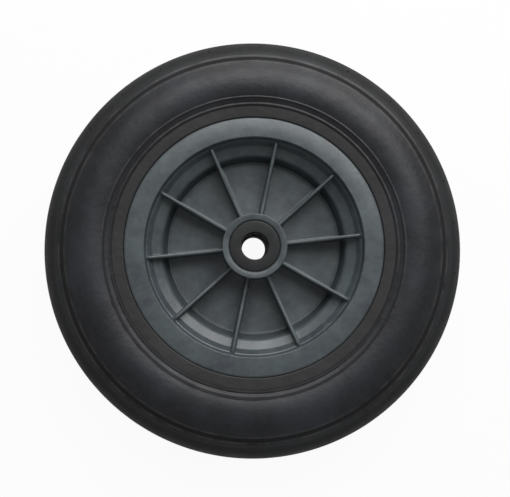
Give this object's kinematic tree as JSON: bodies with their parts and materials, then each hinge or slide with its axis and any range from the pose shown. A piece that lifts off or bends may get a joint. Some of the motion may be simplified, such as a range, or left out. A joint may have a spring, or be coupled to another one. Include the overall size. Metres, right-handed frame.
{
  "type": "saw stand wheel",
  "caption": "Thick-walled tyre on a one-piece ribbed plastic rim, with a plain bush in each end of the hub for a through axle.",
  "frame": {"origin": "centre of the wheel, on the axle line at the mid-plane", "axes": "+Z along the axle line, out of the pictured face; the wheel lies flat and one rib of each face runs along +X"},
  "size_m": [0.4, 0.4, 0.09],
  "materials": {
    "tyre": "dull moulded rubber",
    "rim_plastic": "satin moulded plastic, dark blue-grey",
    "bush_plastic": "smooth dark grey bearing plastic"
  },
  "bodies": {
    "root": {"tyre": "tyre", "rim": "rim_plastic", "front_bush": "bush_plastic", "rear_bush": "bush_plastic"}
  },
  "joints": []
}
